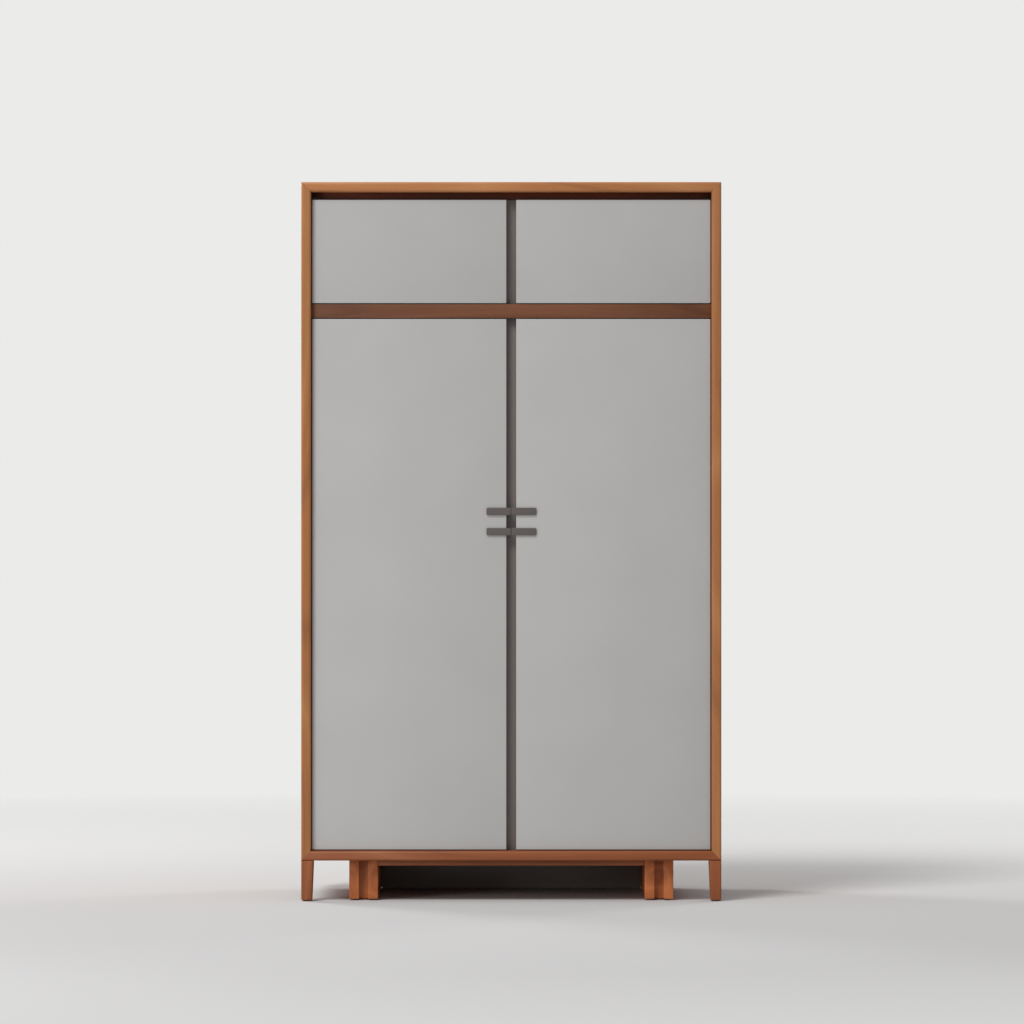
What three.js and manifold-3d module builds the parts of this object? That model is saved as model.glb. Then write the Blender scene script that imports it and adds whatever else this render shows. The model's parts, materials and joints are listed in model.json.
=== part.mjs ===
// Two-over-two door armoire: a mitred wooden case on corner legs and runner feet, with four inset doors.
// Millimetres. X runs to the right, Y runs from the front to the back, Z is up.
// The origin is on the floor, in the middle of the footprint.

import * as THREE from "three";
import { mergeVertices } from "three/addons/utils/BufferGeometryUtils.js";
import Module from "manifold-3d";

const wasm = await Module();
wasm.setup();

// ---------------------------------------------------------------- driving dimensions

const WIDTH = 1200;
const DEPTH = 580;
const HEIGHT = 2054;
const LEG_HEIGHT = 116;
const BOARD = 28; // thickness of the four case boards
const NOSE = 7; // radius of the two front edges of a case board
const PANEL = 18; // thickness of dividers, shelves, posts and plinth

const DOOR = 20; // door thickness
const DOOR_SETBACK = 18; // from the front of the case to the face of a door
const DOOR_GAP = 2.5; // around a closed door
const CENTRE_GAP = 28; // between the two doors of a pair
const REVEAL = 22; // finger gap above the upper doors
const MID_RAIL_BOTTOM = 1666;
const MID_RAIL_HEIGHT = 40;

const FIT = 0.3; // clearance of a piece that is let into another
const STOP_GAP = 2; // from the back of a door to the post behind it
const POST_WIDTH = 76;

const HINGE_INSET = 12; // from the outer edge of a door to its pivot
const HINGE_SETBACK = 7.5; // from the face of a door to its pivot
const LEAF_LENGTH = 40;
const LEAF_WIDTH = 8;
const LEAF = 2.5; // thickness of a hinge leaf
const PIN_RADIUS = 3;
const PIN_REACH = 3; // how far a pin goes on past the door leaf

const PULL_HEIGHTS = { upper: 1113.5, lower: 1055.5 };
const PULL_WIDTH = 21; // up the door
const PULL_ON_DOOR = 57;
const PULL_TIP = 1; // from the middle of the armoire to the tip of a pull
const PULL = 5; // thickness of the plate

const SHELF_COUNT = 3;
const HOUSING = 5; // depth of the housings that hold shelves

// ---------------------------------------------------------------- places worked out from them

const HALF = WIDTH / 2;
const FRONT = -DEPTH / 2;
const BACK = DEPTH / 2;
const INSIDE = HALF - BOARD;
const FLOOR = LEG_HEIGHT + BOARD;
const CEILING = HEIGHT - BOARD;

const DOOR_FRONT = FRONT + DOOR_SETBACK;
const DOOR_BACK = DOOR_FRONT + DOOR;
const POST_FRONT = DOOR_BACK + STOP_GAP;
const POST_BACK = POST_FRONT + PANEL;
const DOOR_OUTER = INSIDE - DOOR_GAP;
const DOOR_INNER = CENTRE_GAP / 2;
const MID_RAIL_TOP = MID_RAIL_BOTTOM + MID_RAIL_HEIGHT;

const LOWER_DOOR = { bottom: FLOOR + DOOR_GAP, top: MID_RAIL_BOTTOM - DOOR_GAP };
const UPPER_DOOR = { bottom: MID_RAIL_TOP + DOOR_GAP, top: CEILING - REVEAL };

const PIVOT_X = DOOR_OUTER - HINGE_INSET;
const PIVOT_Y = DOOR_FRONT + HINGE_SETBACK;

const BACK_PANEL = 8;
const REBATE = 10;
const INTERIOR_BACK = BACK - BACK_PANEL - FIT;

const FIXED_SHELF = 22;
const FIXED_SHELF_BOTTOM = MID_RAIL_BOTTOM + (MID_RAIL_HEIGHT - FIXED_SHELF) / 2;
const FIXED_SHELF_TOP = FIXED_SHELF_BOTTOM + FIXED_SHELF;
const BAY = (FIXED_SHELF_BOTTOM - FLOOR - SHELF_COUNT * PANEL) / (SHELF_COUNT + 1);

// ---------------------------------------------------------------- materials

const material = (color, roughness, metalness = 0) => () =>
  new THREE.MeshStandardMaterial({ color, roughness, metalness });
const cherryWood = material(0x9b6846, 0.45);
const greyLacquer = material(0xb0b0af, 0.4);
const darkLacquer = material(0x5d5754, 0.45);
const bronze = material(0x5d5754, 0.4, 0.6);
const shelfBoard = material(0x9a7a5c, 0.6);
const steel = material(0xb4b6b8, 0.3, 1);
const plastic = material(0x2c2a29, 0.6);

// ---------------------------------------------------------------- solids

function toSolid(geometry) {
  const bare = new THREE.BufferGeometry();
  bare.setAttribute("position", geometry.getAttribute("position"));
  bare.setIndex(geometry.index);
  const merged = mergeVertices(bare, 1e-4);
  const vertProperties = merged.attributes.position.array;
  const triVerts = new Uint32Array(merged.index.array);
  return new wasm.Manifold(new wasm.Mesh({ numProp: 3, vertProperties, triVerts }));
}

function toGeometry(solid) {
  const { vertProperties, triVerts } = solid.getMesh();
  const indexed = new THREE.BufferGeometry();
  indexed.setAttribute("position", new THREE.BufferAttribute(vertProperties, 3));
  indexed.setIndex(new THREE.BufferAttribute(triVerts, 1));
  const flat = indexed.toNonIndexed();
  flat.computeVertexNormals();
  return flat;
}

const cut = (geometry, tools) =>
  toGeometry(tools.reduce((solid, tool) => solid.subtract(toSolid(tool)), toSolid(geometry)));

const join = (...geometries) =>
  toGeometry(geometries.map(toSolid).reduce((whole, solid) => whole.add(solid)));

// A box between two values on each axis, given in either order.
function box([x0, x1], [y0, y1], [z0, z1]) {
  const geometry = new THREE.BoxGeometry(Math.abs(x1 - x0), Math.abs(y1 - y0), Math.abs(z1 - z0));
  return geometry.translate((x0 + x1) / 2, (y0 + y1) / 2, (z0 + z1) / 2);
}

// An outline drawn in X and Y, stood up between two heights.
function upright(outline, [z0, z1], curveSegments = 6) {
  const options = { depth: z1 - z0, bevelEnabled: false, curveSegments };
  return new THREE.ExtrudeGeometry(outline, options).translate(0, 0, z0);
}

const roundZ = (radius, x, y, [z0, z1], sides = 16) =>
  new THREE.CylinderGeometry(radius, radius, Math.abs(z1 - z0), sides)
    .rotateX(Math.PI / 2)
    .translate(x, y, (z0 + z1) / 2);

const roundY = (radius, x, z, [y0, y1], sides = 24) =>
  new THREE.CylinderGeometry(radius, radius, Math.abs(y1 - y0), sides).translate(x, (y0 + y1) / 2, z);

// A rectangle with rounded corners, between two values on each axis.
function roundedRectangle([x0, x1], [y0, y1], radius) {
  const shape = new THREE.Shape();
  shape.moveTo(x0 + radius, y0);
  shape.lineTo(x1 - radius, y0).absarc(x1 - radius, y0 + radius, radius, -Math.PI / 2, 0);
  shape.lineTo(x1, y1 - radius).absarc(x1 - radius, y1 - radius, radius, 0, Math.PI / 2);
  shape.lineTo(x0 + radius, y1).absarc(x0 + radius, y1 - radius, radius, Math.PI / 2, Math.PI);
  shape.lineTo(x0, y0 + radius).absarc(x0 + radius, y0 + radius, radius, Math.PI, 1.5 * Math.PI);
  return shape;
}

// An oval outline with straight long sides, centred on the origin, long way along Y.
function oval(width, length) {
  const radius = width / 2;
  const straight = length / 2 - radius;
  const shape = new THREE.Shape();
  shape.absarc(0, straight, radius, 0, Math.PI);
  shape.absarc(0, -straight, radius, Math.PI, 2 * Math.PI);
  return shape;
}

function part(name, geometry, makeMaterial) {
  const mesh = new THREE.Mesh(geometry, makeMaterial());
  mesh.name = name;
  return mesh;
}

function assembly(...members) {
  const group = new THREE.Group();
  group.add(...members);
  return group;
}

const SIDES = { left: -1, right: 1 };
const bothSides = (make) => Object.entries(SIDES).flatMap(([name, side]) => make(name, side));

// ---------------------------------------------------------------- hinge leaves

// The two halves of a knife hinge. "up" is 1 where the pin points up and -1 where it points down.
function frameLeafBody(side, up, seat) {
  const bossHeight = DOOR_GAP - FIT;
  const pinLength = DOOR_GAP + LEAF + PIN_REACH;
  return [
    roundZ(LEAF_WIDTH / 2, side * PIVOT_X, PIVOT_Y, [seat, seat + up * bossHeight]),
    roundZ(PIN_RADIUS, side * PIVOT_X, PIVOT_Y, [seat - up, seat + up * pinLength]),
  ];
}

const leafSpanX = (side, grow = 0) => [
  side * (DOOR_OUTER - 3 + grow),
  side * (DOOR_OUTER - 3 - LEAF_LENGTH - grow),
];
const leafSpanY = (grow = 0) => [PIVOT_Y - LEAF_WIDTH / 2 - grow, PIVOT_Y + LEAF_WIDTH / 2 + grow];

const frameLeaf = (side, up, seat) =>
  join(box(leafSpanX(side), leafSpanY(), [seat - up * LEAF, seat]), ...frameLeafBody(side, up, seat));

const leafMortise = (side, up, seat) =>
  box(leafSpanX(side, FIT), leafSpanY(FIT), [seat - up * LEAF, seat + up]);

// The bracket that holds the top pivot of an upper door, in the finger gap above it.
function topBracket(side) {
  const seat = UPPER_DOOR.top + DOOR_GAP;
  const arm = box([side * INSIDE, side * (PIVOT_X - 8)], leafSpanY(2.5), [seat, seat + LEAF]);
  const plate = box([side * INSIDE, side * (INSIDE - LEAF)], leafSpanY(2.5), [seat, CEILING - 2]);
  return join(arm, plate, ...frameLeafBody(side, -1, seat));
}

// A door leaf lies in the end of the door; "into" is 1 at the bottom end and -1 at the top end.
const doorLeaf = (side, into, end) =>
  cut(box(leafSpanX(side), leafSpanY(), [end, end + into * LEAF]), [
    roundZ(PIN_RADIUS + FIT, side * PIVOT_X, PIVOT_Y, [end - into, end + into * (LEAF + 1)]),
  ]);

const doorMortise = (side, into, end) => [
  box(leafSpanX(side, FIT), leafSpanY(FIT), [end - into, end + into * LEAF]),
  roundZ(PIN_RADIUS + 2 * FIT, side * PIVOT_X, PIVOT_Y, [end, end + into * (LEAF + PIN_REACH + 2)]),
];

// ---------------------------------------------------------------- case boards

// Section of a case board: X is the distance in from its outer face, Y is the depth of the case.
function boardSection() {
  const shape = new THREE.Shape();
  shape.moveTo(BOARD, FRONT + NOSE);
  shape.lineTo(BOARD, BACK).lineTo(0, BACK).lineTo(0, FRONT + NOSE);
  shape.absarc(NOSE, FRONT + NOSE, NOSE, Math.PI, 1.5 * Math.PI);
  shape.absarc(BOARD - NOSE, FRONT + NOSE, NOSE, 1.5 * Math.PI, 2 * Math.PI);
  return shape;
}

// A board with both ends mitred: "place" turns (in from the outer face, depth, from end to end) into a point.
function mitredBoard(place) {
  const geometry = new THREE.ExtrudeGeometry(boardSection(), {
    depth: 1,
    bevelEnabled: false,
    curveSegments: 12,
  });
  const position = geometry.getAttribute("position");
  const point = new THREE.Vector3();
  for (let i = 0; i < position.count; i += 1) {
    point.fromBufferAttribute(position, i);
    place(point);
    position.setXYZ(i, point.x, point.y, point.z);
  }
  return geometry;
}

// Swaps two corners of every triangle, for a board whose placing has mirrored it.
function turnedInsideOut(geometry) {
  const position = geometry.getAttribute("position");
  for (let i = 0; i < position.count; i += 3) {
    const [x, y, z] = [position.getX(i), position.getY(i), position.getZ(i)];
    position.setXYZ(i, position.getX(i + 1), position.getY(i + 1), position.getZ(i + 1));
    position.setXYZ(i + 1, x, y, z);
  }
  return geometry;
}

const alongBoard = (low, high, inset, fraction) =>
  fraction > 0.5 ? high - inset : low + inset;

const sideBoard = (side) => {
  const board = mitredBoard((point) =>
    point.set(
      side * (HALF - point.x),
      point.y,
      alongBoard(LEG_HEIGHT, HEIGHT, point.x, point.z),
    ),
  );
  return side > 0 ? turnedInsideOut(board) : board;
};

const topBoard = () =>
  mitredBoard((point) => point.set(alongBoard(-HALF, HALF, point.x, point.z), point.y, HEIGHT - point.x));

const bottomBoard = () =>
  turnedInsideOut(
    mitredBoard((point) =>
      point.set(alongBoard(-HALF, HALF, point.x, point.z), point.y, LEG_HEIGHT + point.x),
    ),
  );

// The rebate that the back panel lies in, cut into all four boards.
const rebate = () =>
  box(
    [-INSIDE - REBATE, INSIDE + REBATE],
    [INTERIOR_BACK, BACK + 1],
    [FLOOR - REBATE, CEILING + REBATE],
  );

const shelfBottoms = Array.from({ length: SHELF_COUNT }, (_, i) => FLOOR + BAY + i * (BAY + PANEL));
const SHELF_FRONT = POST_BACK + 10;

// A housing cut into the face at x, towards "way", for a shelf that rests on "bottom".
const housing = (x, way, depth, front, bottom, thickness) =>
  box([x - way, x + way * depth], [front - FIT, INTERIOR_BACK + FIT], [bottom, bottom + thickness + FIT]);

function sidePanel(name, side) {
  const housings = [
    housing(side * INSIDE, side, HOUSING, POST_FRONT - 1, FIXED_SHELF_BOTTOM, FIXED_SHELF),
  ];
  if (name === "right")
    shelfBottoms.forEach((bottom) =>
      housings.push(housing(INSIDE, 1, HOUSING, SHELF_FRONT, bottom, PANEL)),
    );
  return part(`${name}_side_panel`, cut(sideBoard(side), [rebate(), ...housings]), cherryWood);
}

// ---------------------------------------------------------------- base

const LEG_WIDTH = 35;
const LEG_DEPTH = 70;
const LEG_TAPER = { inner: 4, rear: 18 };
const LEG_FRONT = FRONT + 1;
const GLIDE = 4;
const DOWEL_RADIUS = 4;
const DOWEL = 12;

const FOOT_OUTER = 464;
const FOOT_INNER = 382;
const FOOT_FRONT = FRONT + 42;
const FOOT_BACK = BACK - 20;
const FOOT_CHEEK = 28;
const FOOT_SLOT = 22; // depth of the slot between the cheeks, at each end

const legDowels = (side) =>
  [LEG_FRONT + 18, LEG_FRONT + 52].map((y) => ({ x: side * (HALF - LEG_WIDTH + 9), y }));
const footDowels = (side) =>
  [-180, 0, 180].map((y) => ({ x: (side * (FOOT_OUTER + FOOT_INNER)) / 2, y }));

const dowel = ({ x, y }) => roundZ(DOWEL_RADIUS, x, y, [LEG_HEIGHT - 6, LEG_HEIGHT + DOWEL], 12);
const dowelBore = ({ x, y }) =>
  roundZ(DOWEL_RADIUS + FIT, x, y, [LEG_HEIGHT - 1, LEG_HEIGHT + DOWEL + FIT], 12);

// A corner leg: flush with the case outside and in front, tapered on its inner and rear faces.
function frontLeg(name, side) {
  const outline = roundedRectangle([0, LEG_WIDTH], [LEG_FRONT, LEG_FRONT + LEG_DEPTH], 5);
  const leg = upright(outline, [GLIDE, LEG_HEIGHT]);
  const position = leg.getAttribute("position");
  for (let i = 0; i < position.count; i += 1) {
    const foot = position.getZ(i) < LEG_HEIGHT / 2;
    const across = foot ? 1 - LEG_TAPER.inner / LEG_WIDTH : 1;
    const back = foot ? 1 - LEG_TAPER.rear / LEG_DEPTH : 1;
    position.setX(i, side * (HALF - position.getX(i) * across));
    position.setY(i, LEG_FRONT + (position.getY(i) - LEG_FRONT) * back);
  }
  const placed = side > 0 ? turnedInsideOut(leg) : leg;
  return part(`front_${name}_leg`, join(placed, ...legDowels(side).map(dowel)), cherryWood);
}

function legGlide(name, side) {
  const glide = roundZ(12, side * (HALF - 15), LEG_FRONT + 26, [0, GLIDE], 24);
  return part(`front_${name}_glide`, glide, plastic);
}

// A runner foot: two cheeks with the web between them set back at both ends.
function runnerFoot(name, side) {
  const [low, high] = side > 0 ? [FOOT_INNER, FOOT_OUTER] : [-FOOT_OUTER, -FOOT_INNER];
  const block = upright(roundedRectangle([low, high], [FOOT_FRONT, FOOT_BACK], 3), [GLIDE, LEG_HEIGHT], 3);
  const slotX = [low + FOOT_CHEEK, high - FOOT_CHEEK];
  const slots = [
    [FOOT_FRONT - 1, FOOT_FRONT + FOOT_SLOT],
    [FOOT_BACK - FOOT_SLOT, FOOT_BACK + 1],
  ].map((slotY) => box(slotX, slotY, [GLIDE - 1, LEG_HEIGHT + 1]));
  const foot = join(cut(block, slots), ...footDowels(side).map(dowel));
  return part(`${name}_runner_foot`, foot, cherryWood);
}

function runnerStrip(name, side) {
  const strip = box(
    [side * (FOOT_INNER + 36), side * (FOOT_OUTER - 36)],
    [FOOT_FRONT + FOOT_SLOT, FOOT_BACK - FOOT_SLOT],
    [0, GLIDE],
  );
  return part(`${name}_runner_glide`, strip, plastic);
}

const PLINTH_GAP = 1; // from the floor, little enough that no light shows under it

function plinthPanel() {
  const panel = box([-FOOT_INNER, FOOT_INNER], [FOOT_BACK - PANEL - 4, FOOT_BACK - 4], [PLINTH_GAP, LEG_HEIGHT]);
  return part("plinth_panel", panel, darkLacquer);
}

const APRON = { height: 17, thickness: 18, setback: 2 }; // setback from the front of the feet

// A low rail under the bottom panel, from one runner foot to the other.
function apronRail() {
  const front = FOOT_FRONT + APRON.setback;
  const rail = box(
    [-FOOT_INNER, FOOT_INNER],
    [front, front + APRON.thickness],
    [LEG_HEIGHT - APRON.height, LEG_HEIGHT],
  );
  return part("apron_rail", rail, cherryWood);
}

// ---------------------------------------------------------------- inside

const RAIL_Y = 25;
const RAIL_Z = FIXED_SHELF_BOTTOM - 60;
const RAIL = { width: 15, height: 30, wall: 1.2 };
const DIVIDER = PANEL / 2;

// An oval outline run along X between two values, upright at the place of the hanging rail.
function alongRail(outline, [x0, x1]) {
  const options = { depth: Math.abs(x1 - x0), bevelEnabled: false, curveSegments: 10 };
  return new THREE.ExtrudeGeometry(outline, options)
    .rotateX(Math.PI / 2)
    .rotateZ(Math.PI / 2)
    .translate(Math.min(x0, x1), RAIL_Y, RAIL_Z);
}

function hangingRail() {
  const tube = oval(RAIL.width, RAIL.height);
  tube.holes.push(oval(RAIL.width - 2 * RAIL.wall, RAIL.height - 2 * RAIL.wall));
  const ends = [-INSIDE + 3 + FIT, -DIVIDER - 3 - FIT];
  return part("hanging_rail", alongRail(tube, ends), steel);
}

// The end fitting of the rail: an oval flange with a cup around the rail's end.
function railSocket(name, wall, way) {
  const cup = oval(RAIL.width + 6, RAIL.height + 6);
  cup.holes.push(oval(RAIL.width + 2 * FIT, RAIL.height + 2 * FIT));
  const flange = alongRail(oval(32, 56), [wall, wall + way * 3]);
  return part(name, join(flange, alongRail(cup, [wall + way * 2, wall + way * 15])), steel);
}

const shelf = (bottom, i) =>
  part(
    `shelf_${i + 1}`,
    box(
      [DIVIDER - HOUSING + 1 + FIT, INSIDE + HOUSING - FIT],
      [SHELF_FRONT, INTERIOR_BACK],
      [bottom, bottom + PANEL],
    ),
    shelfBoard,
  );

function lowerDivider() {
  const panel = box([-DIVIDER, DIVIDER], [POST_BACK, INTERIOR_BACK], [FLOOR, FIXED_SHELF_BOTTOM]);
  const housings = shelfBottoms.map((bottom) =>
    housing(DIVIDER, -1, HOUSING - 1, SHELF_FRONT, bottom, PANEL),
  );
  return part("lower_divider", cut(panel, housings), shelfBoard);
}

function fixedShelf() {
  const reach = INSIDE + HOUSING - FIT;
  const board = box(
    [-reach, reach],
    [POST_FRONT - 1, INTERIOR_BACK],
    [FIXED_SHELF_BOTTOM, FIXED_SHELF_TOP],
  );
  return part("fixed_shelf", board, shelfBoard);
}

// ---------------------------------------------------------------- face of the case

const REVEAL_RAIL_BOTTOM = CEILING - 36;
const SWING_ROOM = 4; // the rail stands this far behind the posts, clear of the upper doors' corners
const REVEAL_RAIL_FRONT = POST_FRONT + SWING_ROOM;
const CATCH_X = 26;
const CATCH = { head: 8, body: 6, headDepth: 1.4, bodyDepth: 14 };
const STRIKE = 1.5;
const middle = ({ bottom, top }) => (bottom + top) / 2;

const catchBore = (x, z) => roundY(CATCH.body + FIT, x, z, [POST_FRONT - 1, POST_BACK + 1]);

function centrePost(name, bottom, top, catchHeight, extraCuts = []) {
  const post = box([-POST_WIDTH / 2, POST_WIDTH / 2], [POST_FRONT, POST_BACK], [bottom, top]);
  const bores = Object.values(SIDES).map((side) => catchBore(side * CATCH_X, catchHeight));
  return part(name, cut(post, [...bores, ...extraCuts]), darkLacquer);
}

// The upper post ends level with the tops of its doors, and laps over the front of the reveal rail.
function upperPost() {
  const lap = box(
    [-POST_WIDTH / 2 - 1, POST_WIDTH / 2 + 1],
    [REVEAL_RAIL_FRONT, POST_BACK + 1],
    [REVEAL_RAIL_BOTTOM, CEILING],
  );
  return centrePost("upper_centre_post", FIXED_SHELF_TOP, UPPER_DOOR.top, middle(UPPER_DOOR), [lap]);
}

// A push-in magnetic catch: a wide head on the face of the post and a body in its bore.
function magneticCatch(name, side, z) {
  const head = roundY(CATCH.head, side * CATCH_X, z, [POST_FRONT - CATCH.headDepth, POST_FRONT]);
  const body = roundY(CATCH.body, side * CATCH_X, z, [POST_FRONT - 1, POST_FRONT + CATCH.bodyDepth]);
  return part(name, join(head, body), steel);
}

function midRail() {
  const rail = box([-INSIDE, INSIDE], [DOOR_FRONT + 1, POST_FRONT - 1], [MID_RAIL_BOTTOM, MID_RAIL_TOP]);
  const mortises = Object.values(SIDES).flatMap((side) => [
    leafMortise(side, -1, MID_RAIL_BOTTOM),
    leafMortise(side, 1, MID_RAIL_TOP),
  ]);
  return part("mid_rail", cut(rail, mortises), cherryWood);
}

function bottomPanel() {
  const bores = bothSides((name, side) => [...legDowels(side), ...footDowels(side)].map(dowelBore));
  const mortises = Object.values(SIDES).map((side) => leafMortise(side, 1, FLOOR));
  return part("bottom_panel", cut(bottomBoard(), [rebate(), ...bores, ...mortises]), cherryWood);
}

// ---------------------------------------------------------------- doors

function doorPanel(name, side, { bottom, top }) {
  const panel = box([side * DOOR_INNER, side * DOOR_OUTER], [DOOR_FRONT, DOOR_BACK], [bottom, top]);
  const strikeSeat = roundY(CATCH.head + FIT, side * CATCH_X, middle({ bottom, top }), [
    DOOR_BACK - STRIKE,
    DOOR_BACK + 1,
  ]);
  return part(
    name,
    cut(panel, [...doorMortise(side, 1, bottom), ...doorMortise(side, -1, top), strikeSeat]),
    greyLacquer,
  );
}

function strikePlate(name, side, z) {
  return part(name, roundY(CATCH.head, side * CATCH_X, z, [DOOR_BACK - STRIKE, DOOR_BACK]), steel);
}

// A tab pull: a plate on the face of the door that reaches into the centre gap and turns back along the edge.
function tabPull(name, side, z) {
  const reach = DOOR_INNER + PULL_ON_DOOR;
  const bounds = side > 0 ? [PULL_TIP, reach] : [-reach, -PULL_TIP];
  const outline = roundedRectangle(bounds, [-PULL_WIDTH / 2, PULL_WIDTH / 2], 3.5);
  const plate = upright(outline, [0, PULL]).rotateX(Math.PI / 2).translate(0, DOOR_FRONT, z);
  const lip = box(
    [side * DOOR_INNER, side * (DOOR_INNER - 2.5)],
    [DOOR_FRONT - 1, DOOR_BACK - 3],
    [z - PULL_WIDTH / 2 + 1, z + PULL_WIDTH / 2 - 1],
  );
  return part(name, join(plate, lip), bronze);
}

function door(level, name, side, span) {
  const prefix = `${level}_${name}`;
  const members = [
    doorPanel(`${prefix}_door`, side, span),
    part(`${prefix}_door_leaf_bottom`, doorLeaf(side, 1, span.bottom), steel),
    part(`${prefix}_door_leaf_top`, doorLeaf(side, -1, span.top), steel),
    strikePlate(`${prefix}_strike`, side, middle(span)),
  ];
  if (level === "lower")
    Object.entries(PULL_HEIGHTS).forEach(([place, z]) =>
      members.push(tabPull(`${name}_${place}_pull`, side, z)),
    );
  return assembly(...members);
}

// ---------------------------------------------------------------- armoire

const caseBoards = assembly(
  part("top_panel", cut(topBoard(), [rebate()]), cherryWood),
  ...bothSides((name, side) => [sidePanel(name, side)]),
  bottomPanel(),
  midRail(),
  part(
    "top_reveal_rail",
    box([-INSIDE, INSIDE], [REVEAL_RAIL_FRONT, POST_BACK], [REVEAL_RAIL_BOTTOM, CEILING]),
    cherryWood,
  ),
  upperPost(),
  centrePost("lower_centre_post", FLOOR, FIXED_SHELF_BOTTOM, middle(LOWER_DOOR)),
  part(
    "back_panel",
    box(
      [-INSIDE - REBATE + FIT, INSIDE + REBATE - FIT],
      [BACK - BACK_PANEL, BACK],
      [FLOOR - REBATE + FIT, CEILING + REBATE - FIT],
    ),
    shelfBoard,
  ),
);

const base = assembly(
  ...bothSides((name, side) => [
    frontLeg(name, side),
    legGlide(name, side),
    runnerFoot(name, side),
    runnerStrip(name, side),
  ]),
  plinthPanel(),
  apronRail(),
);

const inside = assembly(
  fixedShelf(),
  part(
    "upper_divider",
    box([-DIVIDER, DIVIDER], [POST_BACK, INTERIOR_BACK], [FIXED_SHELF_TOP, CEILING]),
    shelfBoard,
  ),
  lowerDivider(),
  ...shelfBottoms.map(shelf),
  hangingRail(),
  railSocket("left_rail_socket", -INSIDE, 1),
  railSocket("right_rail_socket", -DIVIDER, -1),
);

const frameHinges = assembly(
  ...bothSides((name, side) => [
    part(`lower_${name}_frame_leaf_bottom`, frameLeaf(side, 1, FLOOR), steel),
    part(`lower_${name}_frame_leaf_top`, frameLeaf(side, -1, MID_RAIL_BOTTOM), steel),
    part(`upper_${name}_frame_leaf_bottom`, frameLeaf(side, 1, MID_RAIL_TOP), steel),
    part(`upper_${name}_frame_bracket_top`, topBracket(side), bronze),
    magneticCatch(`upper_${name}_catch`, side, middle(UPPER_DOOR)),
    magneticCatch(`lower_${name}_catch`, side, middle(LOWER_DOOR)),
  ]),
);

const doors = bothSides((name, side) => [
  door("upper", name, side, UPPER_DOOR),
  door("lower", name, side, LOWER_DOOR),
]);

export default assembly(caseBoards, base, inside, frameHinges, ...doors);
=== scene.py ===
"""Builds the finished armoire round its frame: joinery, doors, fittings, finishes and studio."""

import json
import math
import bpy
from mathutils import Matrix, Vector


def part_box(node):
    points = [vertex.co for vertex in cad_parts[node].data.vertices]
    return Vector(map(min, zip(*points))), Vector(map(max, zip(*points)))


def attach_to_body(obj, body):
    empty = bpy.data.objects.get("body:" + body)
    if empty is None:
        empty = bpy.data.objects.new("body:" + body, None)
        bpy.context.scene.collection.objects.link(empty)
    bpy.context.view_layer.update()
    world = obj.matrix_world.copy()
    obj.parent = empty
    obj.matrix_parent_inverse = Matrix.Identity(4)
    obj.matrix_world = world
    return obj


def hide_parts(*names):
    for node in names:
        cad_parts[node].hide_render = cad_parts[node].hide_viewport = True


bl_info = {
    "name": "Mitred Armoire",
    "version": (1, 0, 0),
    "blender": (4, 5, 0),
    "location": "3D View > Sidebar > Armoire",
    "description": "Makes the joinery, doors, fittings and finishes of a four-door armoire",
    "category": "Add Mesh",
}

from contextlib import contextmanager

import bmesh
import bpy
from mathutils import Vector

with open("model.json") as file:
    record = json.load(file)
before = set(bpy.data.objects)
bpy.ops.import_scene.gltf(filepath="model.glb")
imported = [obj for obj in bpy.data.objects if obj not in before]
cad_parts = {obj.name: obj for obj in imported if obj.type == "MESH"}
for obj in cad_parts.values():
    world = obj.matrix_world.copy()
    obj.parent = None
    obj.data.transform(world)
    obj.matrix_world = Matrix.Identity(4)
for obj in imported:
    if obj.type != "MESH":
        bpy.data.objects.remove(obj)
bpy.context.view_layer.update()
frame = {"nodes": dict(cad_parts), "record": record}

MM = 0.001
FIT = 0.3 * MM  # clearance of a piece that is let into another
PAST = 1 * MM  # how far a cutter goes past the wood that it cuts
WHITE = (1.0, 1.0, 1.0, 1.0)
BACK_SINK = 1.5 * MM  # how far the face of the back panel lies below the case's back edges
SOCKET_FLANGE = 3 * MM  # thickness of the flange of a rail socket
RING_COUNT = 12  # growth rings between the darkest and the lightest part of a board's figure

BODY_OF = {
    node: body
    for body, nodes in frame["record"]["behaviour"]["bodies"].items()
    for node in nodes
}
SIDES = {"left": -1, "right": 1}
LEVELS = ("upper", "lower")

DOOR_LOW, DOOR_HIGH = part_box("lower_left_door")
DOOR_FACE = DOOR_LOW.y
DOOR_BACK = DOOR_HIGH.y
CASE_LOW, CASE_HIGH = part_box("left_side_panel")
CASE_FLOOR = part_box("bottom_panel")[0].z


# ------------------------------------------------------------------ colours and settings


def linear(hex_colour):
    """An sRGB hex colour as the linear colour, with alpha, that the shaders use."""
    channels = [int(hex_colour[i : i + 2], 16) / 255 for i in (1, 3, 5)]
    return (
        *[c / 12.92 if c <= 0.04045 else ((c + 0.055) / 1.055) ** 2.4 for c in channels],
        1.0,
    )


def colour_property(name, description, hex_colour):
    return bpy.props.FloatVectorProperty(
        name=name, description=description, subtype="COLOR", size=4, default=linear(hex_colour)
    )


def length_property(name, description, millimetres):
    return bpy.props.FloatProperty(
        name=name, description=description, unit="LENGTH", precision=4, default=millimetres * MM
    )


class ArmoireShapes(bpy.types.PropertyGroup):
    """Sizes of the finished edges and small fittings"""

    nose: length_property("Nose", "Radius of the two front edges of a case board", 7)
    board_ease: length_property("Board ease", "Softening of the other edges of the case", 0.7)
    door_ease: length_property("Door ease", "Radius of the lacquered door edges", 1.6)
    leg_round: length_property("Leg rounding", "Radius of the legs' upright edges", 5)
    pull_corner: length_property("Pull corner", "Radius of a pull's corners, seen from in front", 4)
    pull_ease: length_property("Pull ease", "Radius of a pull's edges", 0.9)
    screw_head: length_property("Screw head", "Radius of a pan-head screw", 3.4)


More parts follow.
